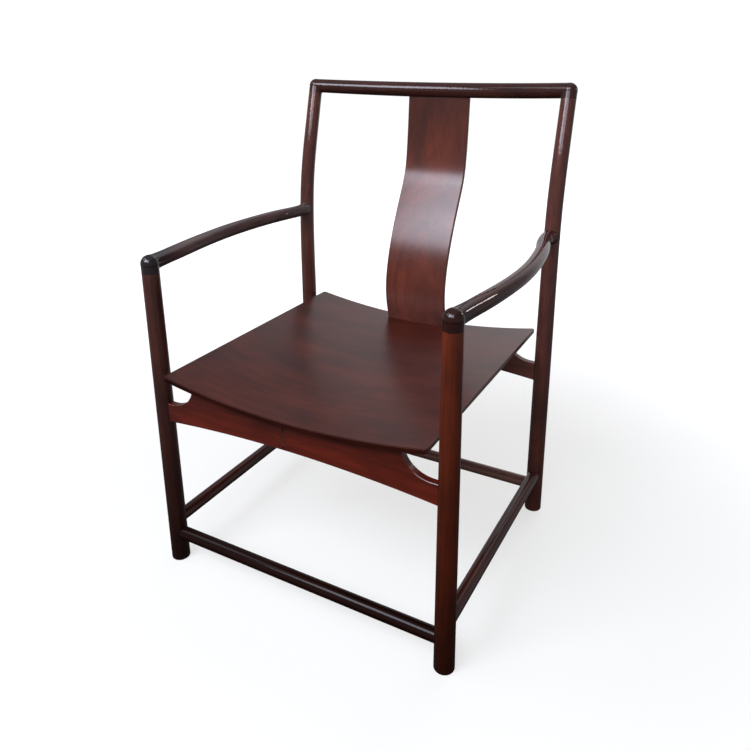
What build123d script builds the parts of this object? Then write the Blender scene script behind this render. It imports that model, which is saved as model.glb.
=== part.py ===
"""Low-back armchair in the east asian round-rod style.

Sixteen wooden pieces and the dowels between them: round front legs, bent back posts, a bowed crest rail,
two bowed arms, a bent back splat, a dished seat sheet on two scooped aprons and
a batten, and four round stretchers.  Every rail is coped to the round leg that
it meets and held by a tenon in a mortise.

Millimetres.  +X is right as seen from the front, -Y is the front, +Z is up.
The origin is on the floor, under the middle of the chair's outline.
"""
from build123d import *
from math import cos, radians, sin, sqrt, tan
import os

os.makedirs("parts", exist_ok=True)

# ------------------------------------------------------------------ driving sizes
# Stance: the axes of the four legs on the floor
leg_spread = 590.0           # left leg axis to right leg axis
leg_depth = 500.0            # front leg axis to back post axis

# Heights above the floor
crest_height = 928.0         # top of the crest rail at its ends
arm_height = 645.0           # top of the arm at its front elbow
seat_height = 422.0          # top of the seat sheet along its two side edges

# Front legs
front_foot_radius = 18.2
front_top_radius = 16.0
foot_ease = 2.5              # rounding round the foot of every leg

# Back posts: upright below, bent back above
post_foot_radius = 17.8
post_arm_radius = 16.5       # where the arm meets the post
post_top_radius = 15.0
post_bend_height = 430.0     # the post is straight up to here
post_bend_pull = 270.0       # how gently the bend starts
post_lean_pull = 200.0       # how long the lean is held below the crest
post_set_back = 60.0         # crest rail's end behind the post's foot
post_lean = 14.5             # degrees, lean of the post's top

# Crest rail: a bowed round rod with an elbow and a short stub at each end
crest_mid_radius = 16.0
crest_bow = 42.0             # middle of the rail behind its ends
crest_sag = 6.5              # middle of the rail below its ends
crest_stub = 17.5            # elbow centre to the joint with the post

# Elbows, where the crest rail and the arms turn down to meet a leg
elbow_swell = 0.3            # the elbows stand this much proud of their rods
elbow_crook = 2.0            # rounding in the inner corner of an elbow

# Arms: a bowed round rod from the front elbow to the post
arm_stub = 17.0              # elbow centre to the joint with the front leg
arm_front_radius = 14.6      # just behind the elbow
arm_neck = 20.0              # from the elbow's centre to that place
arm_waist_radius = 13.2      # thinnest place, just ahead of the post
arm_waist_reach = 38.0       # thinnest place ahead of the post's axis
arm_waist_inset = 3.0        # thinnest place inside the line of the legs
arm_bow = 27.0               # middle of the arm outside the line of the legs
arm_rise = 5.0               # rear of the arm above its front
arm_front_angle = 8.5        # degrees, the arm turns out as it leaves the elbow
arm_rear_angle = 13.5        # degrees, the arm turns in as it nears the post
arm_lip = 0.9                # flared end stands this much wider than the post
arm_lip_stop = 3.0           # flared end stops this much ahead of the post's axis

# Seat: one bent sheet, dished from side to side
seat_thickness = 9.0
seat_dip = 25.0              # middle of the seat below its side edges
seat_side_gap = 28.0         # side edge of the seat to the line of the legs
seat_lip = 25.0              # seat beyond the leg axes, front and rear
seat_corner_radius = 7.0
seat_ease = 1.5

# Aprons under the front and rear of the seat
apron_thickness = 14.0
apron_shoulder_drop = 67.0   # upper edge at the legs, below the seat's side edges
apron_end_depth = 40.0       # from there down to the lower edge at the legs
apron_lift = 16.0            # lower edge is this much higher in the middle
scoop_width = 54.0
scoop_lip = 2.4              # upright edge between the scoop and the seat
scoop_reach = 25.0           # flat floor of the scoop, from the leg's axis
apron_ease = 1.0             # bevel along the edges that show

# Batten under the middle of the seat
batten_width = 12.0
batten_offset = -12.0        # off the chair's middle
batten_rise = 8.0            # lower edge above the aprons' lower edge
batten_tenon_height = 27.0

# Stretchers
front_stretcher_height = 60.0
rear_stretcher_height = 60.0
side_stretcher_height = 89.0
front_stretcher_radius = 13.0
rear_stretcher_radius = 12.5
side_stretcher_radius = 12.6

# Back splat: one bent board
splat_width = 144.0
splat_thickness = 9.0
splat_waist_forward = 13.0   # lumbar curve ahead of the post's foot
splat_waist_rise = 65.0      # lumbar curve above the seat
splat_shoulder_back = 60.0   # upper curve behind the post's foot
splat_shoulder_rise = 282.0  # upper curve above the seat
splat_foot_lean = 14.0       # degrees forward as it leaves the seat
splat_top_lean = 4.0         # degrees back as it meets the crest rail
splat_ease = 1.8
tongue_width = 120.0
tongue_thickness = 6.0
tongue_top_length = 10.0     # into the crest rail
tongue_foot_length = 25.0    # through the seat into the rear apron

# Joints
leg_tenon_radius = 9.0       # front leg into the arm's elbow
leg_tenon_length = 20.0
post_tenon_radius = 8.0      # back post into the crest rail
post_tenon_length = 20.0
arm_tenon_radius = 6.5       # arm into the back post
arm_tenon_length = 19.0
stretcher_tenon_radius = 8.0
stretcher_tenon_length = 20.0
apron_tenon_thickness = 8.0
apron_tenon_margin = 5.0     # tenon in from the apron's edges
apron_tenon_length = 18.0
dowel_radius = 3.0
dowel_in_seat = 4.0
dowel_in_rail = 8.5
dowel_side_reach = 150.0     # apron dowels from the chair's middle
dowel_batten_reach = 120.0   # batten dowels from the seat's middle
fit_gap = 0.1                # round a tenon in its mortise
end_gap = 1.0                # beyond the end of a tenon

# ------------------------------------------------------------------ derived places
leg_x = leg_spread / 2
outline_depth = seat_lip + leg_depth + post_set_back + crest_bow + crest_mid_radius
front_y = seat_lip - outline_depth / 2
rear_y = front_y + leg_depth
seat_mid_y = (front_y + rear_y) / 2

elbow_radius = front_top_radius + elbow_swell
elbow_z = arm_height - elbow_radius
leg_top_z = elbow_z - arm_stub
arm_rear_z = elbow_z + arm_rise

crest_end_radius = post_top_radius + elbow_swell
crest_end_y = rear_y + post_set_back
crest_end_z = crest_height - crest_end_radius
crest_mid_y = crest_end_y + crest_bow
crest_mid_z = crest_end_z - crest_sag

seat_half_width = leg_x - seat_side_gap
seat_mid_z = seat_height - seat_dip
seat_bend_radius = (seat_half_width**2 + seat_dip**2) / (2 * seat_dip)

apron_shoulder_z = seat_height - apron_shoulder_drop
apron_end_z = apron_shoulder_z - apron_end_depth
apron_mid_z = apron_end_z + apron_lift
batten_z = apron_mid_z + batten_rise

quarter_turn = 90.0          # degrees
SIDES = {"left": -1, "right": 1}


def seat_underside_z(x):
    """Height of the seat sheet's underside at a place across the seat."""
    return seat_mid_z - seat_thickness + seat_bend_radius - sqrt(seat_bend_radius**2 - x**2)


def front_radius(z):
    """Radius of the tapering front leg at a height."""
    return front_foot_radius + (front_top_radius - front_foot_radius) * z / leg_top_z


def post_radius(z):
    """Radius of the tapering back post below its joint with the arm."""
    return post_foot_radius + (post_arm_radius - post_foot_radius) * z / arm_rear_z


# ------------------------------------------------------------------ shared shapes
def turned(x, y, foot_radius, top_radius, top_z):
    """Round tapering leg that stands on the floor, with an eased foot."""
    with BuildPart() as blank:
        with BuildSketch(Plane(origin=(x, y, 0), x_dir=(1, 0, 0), z_dir=(0, -1, 0))) as profile:
            with BuildLine():
                Polyline((0, 0), (foot_radius, 0), (top_radius, top_z), (0, top_z), close=True)
            make_face()
            foot_corner = profile.vertices().group_by(Axis.Z)[0].sort_by(Axis.X)[-1]
            fillet(foot_corner, radius=foot_ease)
        revolve(axis=Axis((x, y, 0), (0, 0, 1)))
    return blank.part


def peg(start, along, radius, length):
    """Round peg from a point along a direction, for a tenon, a mortise or a dowel."""
    with BuildPart() as shape:
        with BuildSketch(Plane(origin=start, z_dir=along)):
            Circle(radius)
        extrude(amount=length)
    return shape.part


def block(x_span, y_span, z_span):
    """Square-edged block between two places along each axis."""
    spans = (x_span, y_span, z_span)
    size = [high - low for low, high in spans]
    middle = [(high + low) / 2 for low, high in spans]
    with BuildPart() as shape:
        with Locations(Location(middle)):
            Box(*size)
    return shape.part


def front_leg_blank(sign):
    """Front leg before its mortises are cut."""
    return turned(sign * leg_x, front_y, front_foot_radius, front_top_radius, leg_top_z)


def crook_edge(blank, joint):
    """Edge in the inner corner of the elbow that stands on a joint."""
    return blank.edges().filter_by(GeomType.BSPLINE).sort_by_distance(joint)[0]


# ------------------------------------------------------------------ back posts
post_rise = Vector(0, sin(radians(post_lean)), cos(radians(post_lean)))


def crest_end(sign):
    """Centre of the crest rail's elbow."""
    return Vector(sign * leg_x, crest_end_y, crest_end_z)


def post_curve(sign):
    """Centre line of the bent part of a back post, up to the crest rail's joint."""
    top = crest_end(sign) - post_rise * crest_stub
    bend = Vector(sign * leg_x, rear_y, post_bend_height)
    with BuildLine() as line:
        Bezier(bend, bend + Vector(0, 0, post_bend_pull), top - post_rise * post_lean_pull, top)
    return line.edge()


def post_blank(sign):
    """Back post before its mortises are cut."""
    curve = post_curve(sign)
    bend_radius = post_radius(post_bend_height)
    stations = 8
    with BuildPart() as blank:
        add(turned(sign * leg_x, rear_y, post_foot_radius, bend_radius, post_bend_height))
        for step in range(stations + 1):
            along = step / stations
            with BuildSketch(Plane(origin=curve @ along, x_dir=(1, 0, 0), z_dir=curve % along)):
                Circle(bend_radius + (post_top_radius - bend_radius) * along)
        loft()
    return blank.part


def post_axis_at(sign, z):
    """Point on the bent post's centre line at a height."""
    crossing = post_curve(sign).intersect(Plane.XY.offset(z))
    return Vector(crossing.vertices()[0])


# ------------------------------------------------------------------ crest rail
def crest_blank():
    """Crest rail before its sockets and its slot are cut."""
    with BuildLine() as line:
        ThreePointArc(crest_end(-1), (0, crest_mid_y, crest_mid_z), crest_end(1))
    curve = line.edge()
    stations = 8
    with BuildPart() as blank:
        for step in range(stations + 1):
            along = step / stations
            fullness = 4 * along * (1 - along)
            with BuildSketch(Plane(origin=curve @ along, x_dir=(0, 0, 1), z_dir=curve % along)):
                Circle(post_top_radius + (crest_mid_radius - post_top_radius) * fullness)
        loft()
        for sign in SIDES.values():
            with Locations(crest_end(sign)):
                Sphere(crest_end_radius)
            add(peg(crest_end(sign), -post_rise, post_top_radius, crest_stub))
            fillet(crook_edge(blank, crest_end(sign) - post_rise * crest_stub), radius=elbow_crook)
    return blank.part


# ------------------------------------------------------------------ arms
def arm_curve(sign):
    """Centre line of an arm: the bowed rod, then the short reach into its flared end."""
    post_axis = post_axis_at(sign, arm_rear_z)
    front = (sign * leg_x, front_y, elbow_z)
    middle = (sign * (leg_x + arm_bow), seat_mid_y, elbow_z + arm_rise / 2)
    waist = Vector(sign * (leg_x - arm_waist_inset), post_axis.Y - arm_waist_reach, arm_rear_z)
    flare = Vector(post_axis.X, post_axis.Y - arm_lip_stop, arm_rear_z)
    turn_out = (sign * tan(radians(arm_front_angle)), 1, 0)
    turn_in = Vector(-sign * tan(radians(arm_rear_angle)), 1, 0)
    ease = (flare.Y - waist.Y) / 3
    with BuildLine():
        rod = Spline(front, middle, waist, tangents=(turn_out, turn_in))
        reach = Bezier(waist, waist + turn_in * ease, flare - Vector(0, ease, 0), flare)
    return rod, reach


def arm_blank(sign):
    """Arm before its socket is cut and its end is coped to the post."""
    rod, reach = arm_curve(sign)
    stations = 7
    neck = arm_neck / rod.length
    flare_radius = post_arm_radius + arm_lip
    circles = [(rod, 0, front_top_radius)]
    for step in range(stations + 1):
        along = neck + (1 - neck) * step / stations
        circles.append((rod, along, arm_front_radius + (arm_waist_radius - arm_front_radius) * along))
    for along in (0.35, 0.7, 1):
        circles.append((reach, along, arm_waist_radius + (flare_radius - arm_waist_radius) * along**2))
    with BuildPart() as blank:
        for curve, along, radius in circles:
            with BuildSketch(Plane(origin=curve @ along, x_dir=(0, 0, 1), z_dir=curve % along)):
                Circle(radius)
        loft()
        elbow = Vector(sign * leg_x, front_y, elbow_z)
        with Locations(elbow):
            Sphere(elbow_radius)
        add(peg(elbow, (0, 0, -1), front_top_radius, arm_stub))
        fillet(crook_edge(blank, elbow - Vector(0, 0, arm_stub)), radius=elbow_crook)
    return blank.part


# ------------------------------------------------------------------ joints, as tenon or as mortise
def stretcher_run(start, end, gap=0.0, deeper=0.0):
    """Round tenon that runs inside a stretcher from one leg to the other."""
    along = (end - start).normalized()
    length = (end - start).length + 2 * deeper
    return peg(start - along * deeper, along, stretcher_tenon_radius + gap, length)


def cross_tenon(y, height, radius_at, gap=0.0, deeper=0.0):
    """Tenons of the stretcher that joins the left and the right leg."""
    reach = leg_x - radius_at(height) + stretcher_tenon_length
    return stretcher_run(Vector(-reach, y, height), Vector(reach, y, height), gap, deeper)


def side_tenon(sign, gap=0.0, deeper=0.0):
    """Tenons of the stretcher that joins a front leg and a back post."""
    height = side_stretcher_height
    start_y = front_y + front_radius(height) - stretcher_tenon_length
    end_y = rear_y - post_radius(height) + stretcher_tenon_length
    start = Vector(sign * leg_x, start_y, height)
    return stretcher_run(start, Vector(sign * leg_x, end_y, height), gap, deeper)


def apron_tenon(sign, y, radius_at, gap=0.0, deeper=0.0):
    """Flat tenon of an apron in a leg."""
    low = apron_end_z + apron_tenon_margin
    high = apron_shoulder_z - apron_tenon_margin
    leg_face = leg_x - radius_at(low)
    near = sign * (leg_face - apron_tenon_length)
    far = sign * (leg_face + apron_tenon_length + deeper)
    half = apron_tenon_thickness / 2 + gap
    return block(sorted((near, far)), (y - half, y + half), (low - gap, high + gap))


def leg_tenon(sign, gap=0.0, deeper=0.0):
    """Round tenon on top of a front leg."""
    root = (sign * leg_x, front_y, leg_top_z)
    return peg(root, (0, 0, 1), leg_tenon_radius + gap, leg_tenon_length + deeper)


def post_tenon(sign, gap=0.0, deeper=0.0):
    """Round tenon on top of a back post."""
    root = crest_end(sign) - post_rise * crest_stub
    return peg(root, post_rise, post_tenon_radius + gap, post_tenon_length + deeper)


def arm_tenon(sign, gap=0.0, deeper=0.0):
    """Round tenon at the rear of an arm."""
    axis = post_axis_at(sign, arm_rear_z)
    root = Vector(axis.X, axis.Y - post_arm_radius - arm_tenon_length / 2, arm_rear_z)
    length = arm_tenon_length * 3 / 2 + deeper
    return peg(root, (0, 1, 0), arm_tenon_radius + gap, length)


def batten_tenon(gap=0.0):
    """Flat tenon of the batten, right through both aprons."""
    half = batten_width / 2 + gap
    reach = leg_depth / 2 + apron_thickness / 2
    x_span = (batten_offset - half, batten_offset + half)
    y_span = (seat_mid_y - reach, seat_mid_y + reach)
    z_span = (batten_z - gap, batten_z + batten_tenon_height + gap)
    return block(x_span, y_span, z_span)


def foot_tongue(gap=0.0, deeper=0.0):
    """Tongue of the splat, down through the seat into the rear apron."""
    half_width = tongue_width / 2 + gap
    half_thickness = tongue_thickness / 2 + gap
    z_span = (seat_mid_z - tongue_foot_length - deeper, seat_mid_z + seat_thickness)
    return block((-half_width, half_width), (rear_y - half_thickness, rear_y + half_thickness), z_span)


def dowel_places():
    """Foot of each dowel that pins the seat to the aprons and to the batten."""
    apron_spots = [(sign * dowel_side_reach, y) for sign in SIDES.values() for y in (front_y, rear_y)]
    batten_spots = [(batten_offset, seat_mid_y + sign * dowel_batten_reach) for sign in SIDES.values()]
    return [Vector(x, y, seat_underside_z(x) - dowel_in_rail) for x, y in apron_spots + batten_spots]


def dowel_hole(place):
    """Hole for a dowel, in the rail below and in the seat above."""
    return peg(place, (0, 0, 1), dowel_radius + fit_gap, dowel_in_rail + dowel_in_seat + fit_gap)


# ------------------------------------------------------------------ splat and seat forms
def splat_form(width, thickness):
    """Bent board of the splat, from the seat up to the crest rail's axis."""
    foot = (rear_y, seat_mid_z)
    waist = (rear_y - splat_waist_forward, seat_mid_z + splat_waist_rise)
    shoulder = (rear_y + splat_shoulder_back, seat_mid_z + splat_shoulder_rise)
    top = (crest_mid_y, crest_mid_z)
    foot_way = (-sin(radians(splat_foot_lean)), cos(radians(splat_foot_lean)))
    top_way = (sin(radians(splat_top_lean)), cos(radians(splat_top_lean)))
    with BuildPart() as form:
        with BuildSketch(Plane.YZ):
            with BuildLine():
                Spline(foot, waist, shoulder, top, tangents=(foot_way, top_way))
            trace(line_width=thickness)
        extrude(amount=width / 2, both=True)
    return form.part


def seat_form():
    """Bent seat sheet before its edges are eased."""
    half = seat_half_width
    edge_z = seat_height - seat_thickness
    with BuildPart() as form:
        with BuildSketch(Plane.XZ.offset(-seat_mid_y)):
            with BuildLine():
                ThreePointArc((-half, seat_height), (0, seat_mid_z), (half, seat_height))
                Line((half, seat_height), (half, edge_z))
                ThreePointArc((half, edge_z), (0, seat_mid_z - seat_thickness), (-half, edge_z))
                Line((-half, edge_z), (-half, seat_height))
            make_face()
        extrude(amount=leg_depth / 2 + seat_lip, both=True)
    return form.part


def apron_form(y):
    """Apron with its arched lower edge, its dished upper edge and a scoop at each end."""
    scoop_x = leg_x - scoop_reach
    neck_x = scoop_x - scoop_width
    neck_z = seat_underside_z(neck_x)
    scoop_z = neck_z - scoop_lip
    scoop_depth = scoop_z - apron_shoulder_z
    mid_z = seat_underside_z(0)
    with BuildPart() as form:
        with BuildSketch(Plane.XZ.offset(-y - apron_thickness / 2)):
            with BuildLine():
                ThreePointArc((-leg_x, apron_end_z), (0, apron_mid_z), (leg_x, apron_end_z))
                for sign, start_turns in zip(SIDES.values(), (3, 2)):
                    Line((sign * leg_x, apron_end_z), (sign * leg_x, apron_shoulder_z))
                    Line((sign * leg_x, apron_shoulder_z), (sign * scoop_x, apron_shoulder_z))
                    EllipticalCenterArc(
                        (sign * scoop_x, scoop_z),
                        scoop_width,
                        scoop_depth,
                        start_turns * quarter_turn,
                        arc_size=quarter_turn,
                    )
                    Line((sign * neck_x, scoop_z), (sign * neck_x, neck_z))
                ThreePointArc((-neck_x, neck_z), (0, mid_z), (neck_x, neck_z))
            make_face()
        extrude(amount=apron_thickness)
        outline = form.faces().filter_by(Axis.Y).edges()
        between_legs = outline.filter_by_position(Axis.X, -leg_x, leg_x, inclusive=(False, False))
        under_seat = between_legs.filter_by(GeomType.CIRCLE).group_by(Axis.Z)[-1]
        chamfer(between_legs - under_seat, length=apron_ease)
    return form.part


# ------------------------------------------------------------------ front legs
for side, sign in SIDES.items():
    with BuildPart() as front_leg:
        add(front_leg_blank(sign))
        add(leg_tenon(sign))
        add(cross_tenon(front_y, front_stretcher_height, front_radius, fit_gap, end_gap), mode=Mode.SUBTRACT)
        add(side_tenon(sign, fit_gap, end_gap), mode=Mode.SUBTRACT)
        add(apron_tenon(sign, front_y, front_radius, fit_gap, end_gap), mode=Mode.SUBTRACT)
    front_leg.part.label = f"front_leg_{side}"
    export_step(front_leg.part, f"parts/front_leg_{side}.step")

# ------------------------------------------------------------------ back posts
for side, sign in SIDES.items():
    with BuildPart() as back_post:
        add(post_blank(sign))
        add(post_tenon(sign))
        add(cross_tenon(rear_y, rear_stretcher_height, post_radius, fit_gap, end_gap), mode=Mode.SUBTRACT)
        add(side_tenon(sign, fit_gap, end_gap), mode=Mode.SUBTRACT)
        add(apron_tenon(sign, rear_y, post_radius, fit_gap, end_gap), mode=Mode.SUBTRACT)
        add(arm_tenon(sign, fit_gap, end_gap), mode=Mode.SUBTRACT)
    back_post.part.label = f"back_post_{side}"
    export_step(back_post.part, f"parts/back_post_{side}.step")

# ------------------------------------------------------------------ back splat
with BuildPart() as top_tongue:
    add(splat_form(tongue_width, tongue_thickness))
    add(crest_blank(), mode=Mode.INTERSECT)
    split(bisect_by=Plane.XY.offset(crest_mid_z - crest_mid_radius + tongue_top_length), keep=Keep.BOTTOM)

with BuildPart() as back_splat:
    add(splat_form(splat_width, splat_thickness))
    long_edges = back_splat.edges().filter_by(GeomType.BSPLINE)
    fillet(long_edges, radius=splat_ease)
    add(crest_blank(), mode=Mode.SUBTRACT)
    add(seat_form(), mode=Mode.SUBTRACT)
    add(top_tongue.part)
    add(foot_tongue())
back_splat.part.label = "back_splat"
export_step(back_splat.part, "parts/back_splat.step")

# ------------------------------------------------------------------ crest rail
with BuildPart() as top_slot:
    add(splat_form(tongue_width + 2 * fit_gap, tongue_thickness + 2 * fit_gap))
    slot_top = crest_mid_z - crest_mid_radius + tongue_top_length + end_gap
    split(bisect_by=Plane.XY.offset(slot_top), keep=Keep.BOTTOM)

with BuildPart() as crest_rail:
    add(crest_blank())
    for sign in SIDES.values():
        add(post_tenon(sign, fit_gap, end_gap), mode=Mode.SUBTRACT)
    add(top_slot.part, mode=Mode.SUBTRACT)
crest_rail.part.label = "crest_rail"
export_step(crest_rail.part, "parts/crest_rail.step")

# ------------------------------------------------------------------ arms
for side, sign in SIDES.items():
    with BuildPart() as arm:
        add(arm_blank(sign))
        add(front_leg_blank(sign), mode=Mode.SUBTRACT)
        add(post_blank(sign), mode=Mode.SUBTRACT)
        add(arm_tenon(sign))
        add(leg_tenon(sign, fit_gap, end_gap), mode=Mode.SUBTRACT)
    arm.part.label = f"arm_{side}"
    export_step(arm.part, f"parts/arm_{side}.step")

# ------------------------------------------------------------------ seat sheet
with BuildPart() as seat_panel:
    add(seat_form())
    fillet(seat_panel.edges().filter_by(Axis.Z), radius=seat_corner_radius)
    broad_faces = seat_panel.faces().sort_by(SortBy.AREA)[-2:]
    fillet(broad_faces.edges(), radius=seat_ease)
    add(foot_tongue(fit_gap), mode=Mode.SUBTRACT)
    for place in dowel_places():
        add(dowel_hole(place), mode=Mode.SUBTRACT)
seat_panel.part.label = "seat_panel"
export_step(seat_panel.part, "parts/seat_panel.step")

# ------------------------------------------------------------------ aprons
cross_rows = {
    "front_apron": (front_y, front_leg_blank, front_radius),
    "rear_apron": (rear_y, post_blank, post_radius),
}
for name, (y, leg_form, radius_at) in cross_rows.items():
    with BuildPart() as apron:
        add(apron_form(y))
        for sign in SIDES.values():
            add(leg_form(sign), mode=Mode.SUBTRACT)
            add(apron_tenon(sign, y, radius_at))
        add(batten_tenon(fit_gap), mode=Mode.SUBTRACT)
        if y == rear_y:
            add(foot_tongue(fit_gap, end_gap), mode=Mode.SUBTRACT)
        for place in dowel_places():
            add(dowel_hole(place), mode=Mode.SUBTRACT)
    apron.part.label = name
    export_step(apron.part, f"parts/{name}.step")

# ------------------------------------------------------------------ batten under the seat
with BuildPart() as centre_batten:
    rail_reach = leg_depth / 2 - apron_thickness / 2
    x_span = (batten_offset - batten_width / 2, batten_offset + batten_width / 2)
    add(block(x_span, (seat_mid_y - rail_reach, seat_mid_y + rail_reach), (batten_z, seat_mid_z)))
    add(seat_form(), mode=Mode.SUBTRACT)
    add(batten_tenon())
    for place in dowel_places():
        add(dowel_hole(place), mode=Mode.SUBTRACT)
centre_batten.part.label = "centre_batten"
export_step(centre_batten.part, "parts/centre_batten.step")

# ------------------------------------------------------------------ stretchers
stretcher_rows = {
    "front_stretcher": (front_stretcher_height, front_stretcher_radius),
    "rear_stretcher": (rear_stretcher_height, rear_stretcher_radius),
}
for (name, (height, radius)), (y, leg_form, radius_at) in zip(stretcher_rows.items(), cross_rows.values()):
    with BuildPart() as stretcher:
        add(peg((-leg_x, y, height), (1, 0, 0), radius, leg_spread))
        for sign in SIDES.values():
            add(leg_form(sign), mode=Mode.SUBTRACT)
        add(cross_tenon(y, height, radius_at))
    stretcher.part.label = name
    export_step(stretcher.part, f"parts/{name}.step")

for side, sign in SIDES.items():
    with BuildPart() as side_stretcher:
        add(peg((sign * leg_x, front_y, side_stretcher_height), (0, 1, 0), side_stretcher_radius, leg_depth))
        add(front_leg_blank(sign), mode=Mode.SUBTRACT)
        add(post_blank(sign), mode=Mode.SUBTRACT)
        add(side_tenon(sign))
    side_stretcher.part.label = f"side_stretcher_{side}"
    export_step(side_stretcher.part, f"parts/side_stretcher_{side}.step")

# ------------------------------------------------------------------ dowels that pin the seat
with BuildPart() as seat_dowels:
    for place in dowel_places():
        add(peg(place, (0, 0, 1), dowel_radius, dowel_in_rail + dowel_in_seat))
seat_dowels.part.label = "seat_dowels"
export_step(seat_dowels.part, "parts/seat_dowels.step")
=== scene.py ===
import math
from typing import NamedTuple

import bmesh
import bpy
from mathutils import Matrix, Vector


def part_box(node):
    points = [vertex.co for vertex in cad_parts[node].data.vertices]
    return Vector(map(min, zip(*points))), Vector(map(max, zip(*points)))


bl_info = {
    "name": "Round-rod armchair finishes",
    "version": (1, 0, 0),
    "blender": (4, 5, 0),
    "location": "3D View > Sidebar > Armchair",
    "description": "Lacquered wood finishes and a plain studio stage for a low-back armchair",
    "category": "Object",
}

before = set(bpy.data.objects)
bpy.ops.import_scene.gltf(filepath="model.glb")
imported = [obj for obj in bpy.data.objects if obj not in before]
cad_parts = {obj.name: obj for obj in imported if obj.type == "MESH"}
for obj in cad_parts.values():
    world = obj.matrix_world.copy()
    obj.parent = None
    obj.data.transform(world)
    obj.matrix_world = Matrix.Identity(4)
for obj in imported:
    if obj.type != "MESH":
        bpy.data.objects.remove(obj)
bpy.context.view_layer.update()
SEAT_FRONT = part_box("seat_panel")[0][1]
BATTEN_JOINT = -0.012       # X of the batten's joint line in the front apron

# Roughness of the lacquer on each kind of piece
ARM_POLISH = 0.05
ROD_POLISH = 0.10
SHEET_POLISH = 0.22
SEAT_POLISH = 0.30
DOWEL_POLISH = 0.50


class Pattern(NamedTuple):
    """Noise in wood: its fineness across and along the grain, in cells per metre, and its detail."""
    across: float
    along: float
    detail: float
    roughness: float
    distortion: float = 0.0


class Fade(NamedTuple):
    """Wood that darkens to a share of its colour, from start to end along an axis.

    The lacquer thins on the way by the share that dulling gives. On the legs, the splat and
    the seat's front edge this darkening is painted shade; on the arms it is the darker wood
    of the elbows.
    """
    axis: str
    start: float
    end: float
    share: float
    dulling: float = 0.0


# The wood's figure
RING_DRIFT = Pattern(9.0, 1.6, 3.0, 0.55)
STREAKS = Pattern(240.0, 13.0, 4.0, 0.6, 0.2)
PORES = Pattern(900.0, 45.0, 2.0, 0.6)
CLOUDS = Pattern(16.0, 6.0, 3.0, 0.6)
RING_SPACING = 0.011        # from one growth ring to the next
RING_WANDER = 0.030         # how far a ring strays from a circle
RING_WEIGHT, STREAK_WEIGHT, PORE_WEIGHT = 0.30, 0.45, 0.25

# Shares of a lacquer's colour
CLOUD_DARK = 0.85
CLOUD_PALE = (1.6, 1.45, 1.2)
FIGURE_TONE = 0.30
SEAM_TONE = 0.08
SEAM_REACH, SEAM_CORE = 0.0020, 0.0010      # from the joint line to the seam's edge and to its dark middle

# The wood under its lacquer
WOOD_ROUGHNESS, STREAK_ROUGHNESS, PORE_ROUGHNESS = 0.42, 0.12, 0.10
STREAK_RELIEF, PORE_RELIEF = 0.25, 1.0
RELIEF_STRENGTH, RELIEF_DEPTH = 0.10, 0.0002
WOOD_SPECULAR = 0.02
LACQUER_IOR = 1.5

# Light, as a share of full white, for how high a direction points in the room: 0 is down, 1 is up
ROOM_BY_HEIGHT = [
    (0.07, (0.02, 0.02, 0.02, 1.0)),
    (0.22, (0.05, 0.05, 0.05, 1.0)),
    (0.30, (0.14, 0.14, 0.145, 1.0)),
    (0.38, (0.29, 0.29, 0.30, 1.0)),
    (0.52, (0.30, 0.30, 0.31, 1.0)),
    (0.85, (0.18, 0.18, 0.20, 1.0)),
    (1.0, (0.50, 0.50, 0.53, 1.0))]
WALL_LIGHT = (0.92, 0.92, 0.95, 1.0)
WALL_BEARING = (-0.07, 0.9975, 0.0)         # level direction from the chair to the bright wall
WHITE = (1.0, 1.0, 1.0, 1.0)
BLACK = (0.0, 0.0, 0.0, 1.0)

# Camera
AZIMUTH, ELEVATION, ROLL = 0.5068, 0.3109, -0.0084
DISTANCE = 1.3524
AIM = (0.0289, -0.0454, 0.5787)
SENSOR_WIDTH = 36.0
FOCAL_PIXELS = 710.51
IMAGE_PIXELS = 750
SHIFT = -0.13

# ------------------------------------------------------------------ shader maths


class Value:
    """A socket that takes part in arithmetic: each operator adds one Math node."""

    def __init__(self, shader, socket):
        self.shader = shader
        self.socket = socket

    def _math(self, operation, first, second):
        return self.shader.make("ShaderNodeMath", {"operation": operation}, {0: first, 1: second})

    def __add__(self, other):
        return self._math("ADD", self, other)

    def __radd__(self, other):
        return self._math("ADD", other, self)

    def __sub__(self, other):
        return self._math("SUBTRACT", self, other)

    def __rsub__(self, other):
        return self._math("SUBTRACT", other, self)

    def __mul__(self, other):
        return self._math("MULTIPLY", self, other)

    def __rmul__(self, other):
        return self._math("MULTIPLY", other, self)


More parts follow.
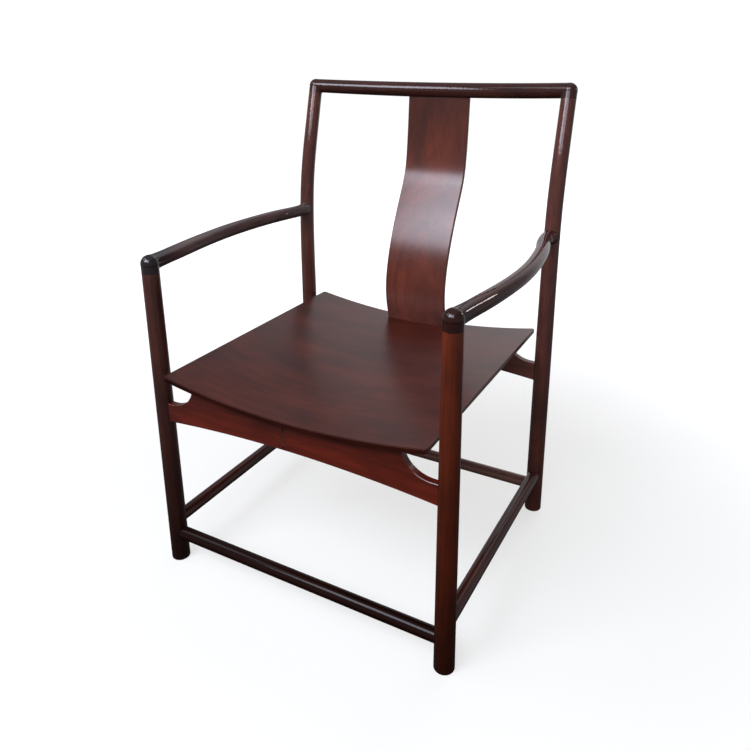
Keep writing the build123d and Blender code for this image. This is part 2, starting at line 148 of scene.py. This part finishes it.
class Shader:
    """The nodes of a material or a world under construction, with one method that makes any node."""

    def __init__(self, owner):
        self.owner = owner
        owner.use_nodes = True
        self.tree = owner.node_tree
        self.tree.nodes.clear()

    def make(self, kind, settings=None, inputs=None, output=0):
        """Add a node: its settings first, then a value or a link for each socket named."""
        node = self.tree.nodes.new(kind)
        for key, value in (settings or {}).items():
            if key == "stops":
                self._set_stops(node.color_ramp, value)
            else:
                setattr(node, key, value)
        for key, value in (inputs or {}).items():
            if isinstance(value, Value):
                self.tree.links.new(value.socket, node.inputs[key])
            else:
                node.inputs[key].default_value = value
        return Value(self, node.outputs[output]) if len(node.outputs) else None

    @staticmethod
    def _set_stops(ramp, stops):
        ramp.elements[0].position, ramp.elements[0].color = stops[0]
        ramp.elements[1].position, ramp.elements[1].color = stops[-1]
        for position, colour in stops[1:-1]:
            ramp.elements.new(position).color = colour

    def place(self):
        """Object coordinates, which are the chair's own frame in metres."""
        return self.make("ShaderNodeTexCoord", output="Object")

    def mapped(self, scale, location=(0, 0, 0)):
        """Object coordinates, scaled and shifted for a pattern."""
        inputs = {"Vector": self.place(), "Scale": scale, "Location": location}
        return self.make("ShaderNodeMapping", None, inputs)

    def coordinate(self, vector, axis):
        """One coordinate of a vector."""
        return self.make("ShaderNodeSeparateXYZ", None, {0: vector}, axis)

    def vector_math(self, operation, inputs, output=0):
        """A sum on vectors, which gives a vector, or a number where output is Value."""
        return self.make("ShaderNodeVectorMath", {"operation": operation}, inputs, output)

    def noise(self, vector, detail, roughness=0.5, distortion=0.0):
        """Noise from 0 to 1, with one cell to each unit of the vector."""
        inputs = {"Vector": vector, "Scale": 1.0, "Detail": detail}
        inputs.update({"Roughness": roughness, "Distortion": distortion})
        return self.make("ShaderNodeTexNoise", None, inputs, "Fac")

    def grain_noise(self, pattern, grain, pith):
        """Noise from 0 to 1, drawn out along the grain."""
        scale = [pattern.across] * 3
        scale["XYZ".index(grain)] = pattern.along
        return self.noise(self.mapped(scale, pith), pattern.detail, pattern.roughness, pattern.distortion)

    def ramp(self, factor, low, high, interpolation="LINEAR"):
        """Stretch the part of a factor between low and high over 0 to 1."""
        settings = {"clamp": True, "interpolation_type": interpolation}
        return self.make("ShaderNodeMapRange", settings, {0: factor, 1: low, 2: high})

    def mix(self, factor, first, second, blend="MIX"):
        """Mix two colours."""
        settings = {"data_type": "RGBA", "blend_type": blend}
        return self.make("ShaderNodeMix", settings, {0: factor, 6: first, 7: second}, 2)

    def finish(self, surface, kind="ShaderNodeOutputMaterial"):
        """Lead a shader to the output, and return the finished material or world."""
        self.make(kind, None, {"Surface": surface})
        return self.owner


def linear(red, green, blue):
    """An opaque colour in linear light, from the 0 to 255 values that a screen shows."""
    def channel(value):
        share = value / 255
        return share / 12.92 if share <= 0.04045 else ((share + 0.055) / 1.055) ** 2.4
    return (channel(red), channel(green), channel(blue), 1.0)


# ------------------------------------------------------------------ settings

def colour_setting(name, description, red, green, blue):
    """A colour property that a user can change in the sidebar."""
    return bpy.props.FloatVectorProperty(
        name=name, description=description, subtype="COLOR", size=4, min=0.0, max=1.0,
        default=linear(red, green, blue))


class ArmchairFinish(bpy.types.PropertyGroup):
    """Colours and gloss of the lacquered wood."""
    leg_colour: colour_setting("Front legs", "Lacquer on the right front leg", 91, 37, 20)
    post_colour: colour_setting(
        "Back posts", "Lacquer on the back posts, the left front leg and the rear rails", 82, 45, 39)
    crest_colour: colour_setting("Crest rail", "Lacquer on the crest rail", 55, 29, 25)
    arm_colour: colour_setting("Arms", "Lacquer on the two arms", 52, 23, 18)
    splat_colour: colour_setting("Splat", "Lacquer on the back splat", 87, 39, 28)
    seat_colour: colour_setting("Seat", "Lacquer on the seat sheet", 68, 28, 21)
    apron_colour: colour_setting("Apron", "Lacquer on the front apron and the batten", 82, 27, 17)
    stretcher_colour: colour_setting(
        "Stretchers", "Lacquer on the front and side stretchers", 50, 22, 17)
    grain_strength: bpy.props.FloatProperty(
        name="Grain strength", description="How much darker the grain streaks are than the wood",
        subtype="FACTOR", min=0.0, max=1.0, default=0.55)
    gloss: bpy.props.FloatProperty(
        name="Gloss", description="Weight of the clear coat over the wood",
        subtype="FACTOR", min=0.0, max=1.0, default=1.0)


class ArmchairStage(bpy.types.PropertyGroup):
    """Floor and lights round the chair."""
    floor_size: bpy.props.FloatProperty(
        name="Floor size", description="Side of the square floor", unit="LENGTH", default=12.0)
    window_radiance: bpy.props.FloatProperty(
        name="Window light", description="Radiance of the front window; the middle one has half of it",
        min=0.0, default=10.0)


# ------------------------------------------------------------------ finishes

def growth_rings(shader, grain, pith):
    """Bands of late wood, 0 to 1, round a pith line that runs along the grain."""
    squash = [1.0, 1.0, 1.0]
    squash["XYZ".index(grain)] = 0.0
    centred = shader.mapped(squash, [-place for place in pith])
    radius = shader.vector_math("LENGTH", {0: centred}, "Value")
    drift = shader.grain_noise(RING_DRIFT, grain, pith)
    turns = (radius + RING_WANDER * drift) * (math.tau / RING_SPACING)
    wave = shader.make("ShaderNodeMath", {"operation": "SINE"}, {0: turns})
    return shader.ramp(wave, -0.4, 1.0, "SMOOTHSTEP")


def lacquered_wood(name, colour, grain, pith, polish, shine=1.0, fade=None, seam=None):
    """Dark red hardwood with growth rings, streaks and pores, under a clear lacquer.

    The rings stand round pith, polish is the lacquer's roughness, shine is its weight, and seam
    is the X of a dark joint line.
    """
    settings = bpy.context.scene.armchair_finish
    shader = Shader(bpy.data.materials.new(name))
    rings = growth_rings(shader, grain, pith)
    streaks = shader.grain_noise(STREAKS, grain, pith)
    pores = shader.grain_noise(PORES, grain, pith)
    clouds = shader.grain_noise(CLOUDS, grain, pith)
    streak_mask = shader.ramp(streaks, 0.36, 0.66, "SMOOTHSTEP")
    pore_mask = shader.ramp(pores, 0.56, 0.70, "SMOOTHSTEP")
    body = shader.mix(
        shader.ramp(clouds, 0.35, 0.65), toned(colour, CLOUD_DARK), tinted(colour, CLOUD_PALE))
    figure = RING_WEIGHT * rings + STREAK_WEIGHT * streak_mask + PORE_WEIGHT * pore_mask
    wood = shader.mix(figure * settings.grain_strength, body, toned(colour, FIGURE_TONE))
    coat = settings.gloss * shine
    if fade:
        along = shader.coordinate(shader.place(), fade.axis)
        faded = shader.ramp(along, fade.start, fade.end)
        wood = shader.mix(faded, wood, (fade.share, fade.share, fade.share, 1.0), "MULTIPLY")
        if fade.dulling:
            coat = coat * (1.0 - fade.dulling * faded)
    if seam is not None:
        across = shader.coordinate(shader.place(), "X")
        gap = shader.make("ShaderNodeMath", {"operation": "ABSOLUTE"}, {0: across - seam})
        wood = shader.mix(shader.ramp(gap, SEAM_REACH, SEAM_CORE), wood, toned(colour, SEAM_TONE))
    roughness = WOOD_ROUGHNESS + STREAK_ROUGHNESS * streaks + PORE_ROUGHNESS * pore_mask
    relief = STREAK_RELIEF * streaks - PORE_RELIEF * pore_mask
    bump = shader.make("ShaderNodeBump", None, {
        "Strength": RELIEF_STRENGTH, "Distance": RELIEF_DEPTH, "Height": relief})
    bsdf = shader.make("ShaderNodeBsdfPrincipled", None, {
        "Base Color": wood, "Roughness": roughness, "Normal": bump, "Specular IOR Level": WOOD_SPECULAR,
        "Coat Weight": coat, "Coat Roughness": polish, "Coat IOR": LACQUER_IOR})
    return shader.finish(bsdf)


def toned(colour, share):
    """The same colour, lighter or darker: for wood that differs from piece to piece, and for painted shade
    and painted light on some pieces.
    """
    return tinted(colour, (share, share, share))


def tinted(colour, gains):
    """The same colour with its red, green and blue each brought up or down."""
    return [min(channel * gain, 1.0) for channel, gain in zip(colour[:3], gains)] + [1.0]


def dress(node_names, material):
    """Give CAD pieces their finish by their material slots."""
    for name in node_names:
        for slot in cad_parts[name].material_slots:
            slot.link = "OBJECT"
            slot.material = material


class ARMCHAIR_OT_legs(bpy.types.Operator):
    """Finish the two front legs, which are darkened towards the floor as painted shade"""
    bl_idname = "armchair.legs"
    bl_label = "Front legs"

    def execute(self, context):
        finish = context.scene.armchair_finish
        pith = (0.06, 0.02, 0.1)
        # Painted shade: each leg darkens to a tenth of its colour from the elbows down to the floor.
        fade = Fade("Z", start=0.6, end=-0.06, share=0.1)
        dull = toned(finish.post_colour, 0.75)
        for side, tone, shine in (("left", dull, 0.85), ("right", finish.leg_colour, 0.7)):
            wood = lacquered_wood(f"{side}_leg_lacquer", tone, "Z", pith, ROD_POLISH, shine, fade)
            dress([f"front_leg_{side}"], wood)
        return {"FINISHED"}


class ARMCHAIR_OT_posts(bpy.types.Operator):
    """Finish the two back posts"""
    bl_idname = "armchair.posts"
    bl_label = "Back posts"

    def execute(self, context):
        colour = context.scene.armchair_finish.post_colour
        pith = (0.03, 0.05, 0.3)
        wood = lacquered_wood("post_lacquer", colour, "Z", pith, ROD_POLISH)
        dress(("back_post_left", "back_post_right"), wood)
        return {"FINISHED"}


class ARMCHAIR_OT_crest(bpy.types.Operator):
    """Finish the crest rail"""
    bl_idname = "armchair.crest"
    bl_label = "Crest rail"

    def execute(self, context):
        colour = context.scene.armchair_finish.crest_colour
        pith = (0.3, 0.22, 0.98)
        dress(["crest_rail"], lacquered_wood("crest_lacquer", colour, "X", pith, ROD_POLISH, shine=0.8))
        return {"FINISHED"}


class ARMCHAIR_OT_arms(bpy.types.Operator):
    """Finish the two arms, which darken at their elbows; the left one is greyed by a painted reflection"""
    bl_idname = "armchair.arms"
    bl_label = "Arms"

    def execute(self, context):
        colour = context.scene.armchair_finish.arm_colour
        pith = (0.0, 0.1, 0.55)
        # Painted reflection: the left arm's pale grey colour stands in for light reflected from the room's
        # right side.
        painted_reflection_grey = tinted(colour, (2.0, 5.0, 7.6))
        red = tinted(colour, (1.35, 1.0, 1.0))
        for side, tone, share, shine in (("left", painted_reflection_grey, 0.2, 1.0), ("right", red, 0.5, 0.8)):
            fade = Fade("Y", start=-0.22, end=-0.28, share=share)
            wood = lacquered_wood(f"{side}_arm_lacquer", tone, "Y", pith, ARM_POLISH, shine, fade)
            dress([f"arm_{side}"], wood)
        return {"FINISHED"}


class ARMCHAIR_OT_splat(bpy.types.Operator):
    """Finish the back splat, with painted shade that darkens it towards its top"""
    bl_idname = "armchair.splat"
    bl_label = "Back splat"

    def execute(self, context):
        colour = context.scene.armchair_finish.splat_colour
        pith = (0.03, 0.12, 0.2)
        # Painted shade: the top of the splat darkens to six tenths of its colour.
        fade = Fade("Z", start=0.76, end=0.86, share=0.6)
        dress(["back_splat"], lacquered_wood("splat_lacquer", colour, "Z", pith, SHEET_POLISH, fade=fade))
        return {"FINISHED"}


class ARMCHAIR_OT_seat(bpy.types.Operator):
    """Finish the seat sheet, with a painted shadow line along its front edge, where the lacquer is also
    dulled
    """
    bl_idname = "armchair.seat"
    bl_label = "Seat sheet"

    def execute(self, context):
        colour = context.scene.armchair_finish.seat_colour
        pith = (0.2, -0.1, 0.32)
        # Painted shadow: the last 4 mm of the seat's front edge darken to four tenths of the colour, and
        # the lacquer there is dulled.
        fade = Fade("Y", start=SEAT_FRONT + 0.004, end=SEAT_FRONT, share=0.4, dulling=0.9)
        dress(["seat_panel"], lacquered_wood("seat_lacquer", colour, "X", pith, SEAT_POLISH, fade=fade))
        return {"FINISHED"}


class ARMCHAIR_OT_aprons(bpy.types.Operator):
    """Finish the aprons, the batten and the hidden dowels"""
    bl_idname = "armchair.aprons"
    bl_label = "Aprons and batten"

    def execute(self, context):
        finish = context.scene.armchair_finish
        colour = finish.apron_colour
        pith = (0.1, -0.2, 0.26)
        front = lacquered_wood("front_apron_lacquer", colour, "X", pith, SHEET_POLISH, seam=BATTEN_JOINT)
        dress(["front_apron"], front)
        # Painted light: the rear apron, in shade under the seat, takes the post lacquer at twice its
        # brightness.
        pale = toned(finish.post_colour, 2.0)
        dress(["rear_apron"], lacquered_wood("rear_apron_lacquer", pale, "X", pith, SHEET_POLISH))
        brown = tinted(colour, (0.85, 1.2, 1.5))
        pith = (0.05, 0.3, 0.3)
        dress(["centre_batten"], lacquered_wood("batten_lacquer", brown, "Y", pith, SHEET_POLISH))
        bare = linear(160, 120, 80)
        pith = (0.01, 0.0, 0.1)
        dress(["seat_dowels"], lacquered_wood("dowel_wood", bare, "Z", pith, DOWEL_POLISH))
        return {"FINISHED"}


class ARMCHAIR_OT_stretchers(bpy.types.Operator):
    """Finish the four stretchers, with painted shade on the front one and painted light on the others"""
    bl_idname = "armchair.stretchers"
    bl_label = "Stretchers"

    def execute(self, context):
        finish = context.scene.armchair_finish
        colour = finish.stretcher_colour
        pith = (0.2, 0.02, 0.03)
        # Painted shade: the front stretcher is the stretcher colour darkened to a third.
        dark = toned(colour, 0.33)
        front = lacquered_wood("front_stretcher_lacquer", dark, "X", pith, ROD_POLISH, shine=0.3)
        dress(["front_stretcher"], front)
        # Painted light: the rear stretcher takes the post lacquer brightened and greyed.
        pale = tinted(finish.post_colour, (2.0, 3.0, 3.3))
        dress(["rear_stretcher"], lacquered_wood("rear_stretcher_lacquer", pale, "X", pith, ROD_POLISH))
        # Painted light: the side stretchers are the stretcher colour brightened by a third.
        light = toned(colour, 1.3)
        pith = (0.02, 0.1, 0.04)
        sides = lacquered_wood("side_stretcher_lacquer", light, "Y", pith, ROD_POLISH)
        dress(("side_stretcher_left", "side_stretcher_right"), sides)
        return {"FINISHED"}


# ------------------------------------------------------------------ stage

def surround(name, form, material):
    """Turn a bmesh into an object that stays out of the lacquer's reflections and lights nothing."""
    mesh = bpy.data.meshes.new(name)
    form.to_mesh(mesh)
    form.free()
    mesh.materials.append(material)
    piece = bpy.data.objects.new(name, mesh)
    bpy.context.scene.collection.objects.link(piece)
    piece.visible_diffuse = False
    piece.visible_glossy = False
    piece.visible_shadow = False
    return piece


def area_light(name, place, aim, size, radiance, colour=(1.0, 1.0, 1.0)):
    """A soft rectangular light at a place, turned to a point, with an even radiance."""
    light = bpy.data.lights.new(name, "AREA")
    light.shape = "RECTANGLE"
    light.size, light.size_y = size
    light.energy = radiance * math.pi * size[0] * size[1]
    light.color = colour
    lamp = bpy.data.objects.new(name, light)
    bpy.context.scene.collection.objects.link(lamp)
    lamp.location = place
    lamp.rotation_euler = (Vector(aim) - Vector(place)).to_track_quat("-Z", "Y").to_euler()
    lamp.visible_camera = False
    return lamp


def studio_world():
    """A quiet room: dim towards its floor, and brightest on the wall straight behind the chair."""
    room = Shader(bpy.data.worlds.new("studio_world"))
    direction = room.make("ShaderNodeTexCoord", output="Generated")
    height = room.coordinate(direction, "Z")
    quiet = room.make("ShaderNodeValToRGB", {"stops": ROOM_BY_HEIGHT}, {0: 0.5 * height + 0.5})
    level = room.vector_math("MULTIPLY", {0: direction, 1: (1.0, 1.0, 0.0)})
    bearing = room.vector_math("NORMALIZE", {0: level})
    towards_wall = room.vector_math("DOT_PRODUCT", {0: bearing, 1: WALL_BEARING}, "Value")
    width = room.ramp(towards_wall, 0.84, 0.98)
    foot = room.ramp(height, -0.6, 0.05)
    top = room.ramp(height, 0.9, 0.55)
    radiance = room.mix(width * foot * top, quiet, WALL_LIGHT)
    background = room.make("ShaderNodeBackground", None, {"Color": radiance})
    return room.finish(background, "ShaderNodeOutputWorld")


def floor_material():
    """Plain pale floor with a very faint mottling, brighter away from the chair."""
    shader = Shader(bpy.data.materials.new("pale_floor"))
    radius = shader.vector_math("LENGTH", {0: shader.place()}, "Value")
    distant = shader.ramp(radius, 0.6, 1.8, "SMOOTHSTEP")
    glow = shader.mix(distant, (0.64, 0.64, 0.63, 1.0), WHITE)
    clouds = shader.noise(shader.mapped((1.5, 1.5, 1.5)), 3.0)
    colour = shader.mix(clouds, (0.33, 0.33, 0.32, 1.0), (0.36, 0.36, 0.35, 1.0))
    bsdf = shader.make("ShaderNodeBsdfPrincipled", None, {
        "Base Color": colour, "Roughness": 0.7 + 0.1 * clouds, "Specular IOR Level": 0.2,
        "Emission Color": glow, "Emission Strength": 1.0})
    return shader.finish(bsdf)


def backdrop_material():
    """Even white paper, lit from behind."""
    shader = Shader(bpy.data.materials.new("white_backdrop"))
    clouds = shader.noise(shader.mapped((0.5, 0.5, 0.5)), 2.0)
    glow = shader.mix(clouds, WHITE, (0.98, 0.98, 0.98, 1.0))
    bsdf = shader.make("ShaderNodeBsdfPrincipled", None, {
        "Base Color": BLACK, "Roughness": 1.0, "Specular IOR Level": 0.0,
        "Emission Color": glow, "Emission Strength": 1.05})
    return shader.finish(bsdf)


class ARMCHAIR_OT_stage(bpy.types.Operator):
    """Set the floor, the backdrop and the lights"""
    bl_idname = "armchair.stage"
    bl_label = "Stage and lights"

    def execute(self, context):
        settings = context.scene.armchair_stage
        half = settings.floor_size / 2
        flat = bmesh.new()
        bmesh.ops.create_grid(flat, x_segments=1, y_segments=1, size=half)
        floor = surround("studio_floor", flat, floor_material())
        dome = bmesh.new()
        bmesh.ops.create_icosphere(dome, subdivisions=4, radius=half * 0.98)
        bmesh.ops.reverse_faces(dome, faces=dome.faces)
        backdrop = surround("studio_backdrop", dome, backdrop_material())
        self.set_lights(settings.window_radiance)
        context.scene.world = studio_world()
        context.scene.view_settings.view_transform = "Standard"
        return {"FINISHED"}

    @staticmethod
    def set_lights(radiance):
        """Four windows in front, a small lamp that only shines in the lacquer, and a fill behind."""
        cool = (0.84, 0.87, 1.0)
        chest = (0.0, 0.1, 0.7)
        area_light("window_light", (-1.0, -2.5, 2.75), chest, (1.5, 1.7), radiance, cool)
        area_light("middle_window", (0.55, -2.5, 2.7), chest, (1.6, 1.7), radiance / 2, cool)
        area_light("left_window", (-2.8, -1.45, 3.2), chest, (1.5, 1.8), 2.6, cool)
        area_light("transom", (-0.35, -2.45, 2.62), chest, (1.9, 0.22), 9.0, cool)
        lamp = area_light("lamp", (0.96, 0.65, 1.05), (0.31, -0.27, 0.64), (0.08, 0.14), 14.0)
        lamp.visible_diffuse = False
        fill = area_light("back_fill", (0.7, 3.2, 0.9), (0.0, 0.2, 0.5), (2.4, 1.8), 2.5, cool)
        fill.visible_glossy = False


class ARMCHAIR_OT_camera(bpy.types.Operator):
    """Set the camera in front of the chair, to its right"""
    bl_idname = "armchair.camera"
    bl_label = "Camera"

    def execute(self, context):
        back = Vector((
            math.sin(AZIMUTH) * math.cos(ELEVATION),
            -math.cos(AZIMUTH) * math.cos(ELEVATION),
            math.sin(ELEVATION)))
        right = Vector((math.cos(AZIMUTH), math.sin(AZIMUTH), 0.0))
        up = back.cross(right)
        rolled_right = right * math.cos(ROLL) + up * math.sin(ROLL)
        rolled_up = up * math.cos(ROLL) - right * math.sin(ROLL)
        camera_data = bpy.data.cameras.new("chair_camera")
        camera_data.sensor_width = SENSOR_WIDTH
        camera_data.lens = SENSOR_WIDTH * FOCAL_PIXELS / IMAGE_PIXELS
        camera_data.shift_y = SHIFT
        camera = bpy.data.objects.new("chair_camera", camera_data)
        context.scene.collection.objects.link(camera)
        turn = Matrix((rolled_right, rolled_up, back)).transposed()
        camera.matrix_world = Matrix.Translation(Vector(AIM) + back * DISTANCE) @ turn.to_4x4()
        context.scene.camera = camera
        return {"FINISHED"}


# ------------------------------------------------------------------ panel and registration
STEPS = (
    ARMCHAIR_OT_legs, ARMCHAIR_OT_posts, ARMCHAIR_OT_crest, ARMCHAIR_OT_arms, ARMCHAIR_OT_splat,
    ARMCHAIR_OT_seat, ARMCHAIR_OT_aprons, ARMCHAIR_OT_stretchers, ARMCHAIR_OT_stage, ARMCHAIR_OT_camera)


class ARMCHAIR_PT_panel(bpy.types.Panel):
    """The armchair's settings and steps"""
    bl_idname = "ARMCHAIR_PT_panel"
    bl_label = "Armchair"
    bl_space_type = "VIEW_3D"
    bl_region_type = "UI"
    bl_category = "Armchair"

    def draw(self, context):
        for settings in (context.scene.armchair_finish, context.scene.armchair_stage):
            for name in settings.bl_rna.properties.keys():
                if name not in ("rna_type", "name"):
                    self.layout.prop(settings, name)
        for step in STEPS:
            self.layout.operator(step.bl_idname)


CLASSES = (ArmchairFinish, ArmchairStage, ARMCHAIR_PT_panel) + STEPS


def register():
    """Make the settings, the steps and the panel known to Blender."""
    for item in CLASSES:
        bpy.utils.register_class(item)
    bpy.types.Scene.armchair_finish = bpy.props.PointerProperty(type=ArmchairFinish)
    bpy.types.Scene.armchair_stage = bpy.props.PointerProperty(type=ArmchairStage)


def unregister():
    """Take away what register added."""
    del bpy.types.Scene.armchair_finish
    del bpy.types.Scene.armchair_stage
    for item in reversed(CLASSES):
        bpy.utils.unregister_class(item)


def main():
    """Run every step in order."""
    register()
    for step in STEPS:
        group, action = step.bl_idname.split(".")
        getattr(getattr(bpy.ops, group), action)()
    bpy.context.view_layer.update()


if __name__ == "__main__":
    main()
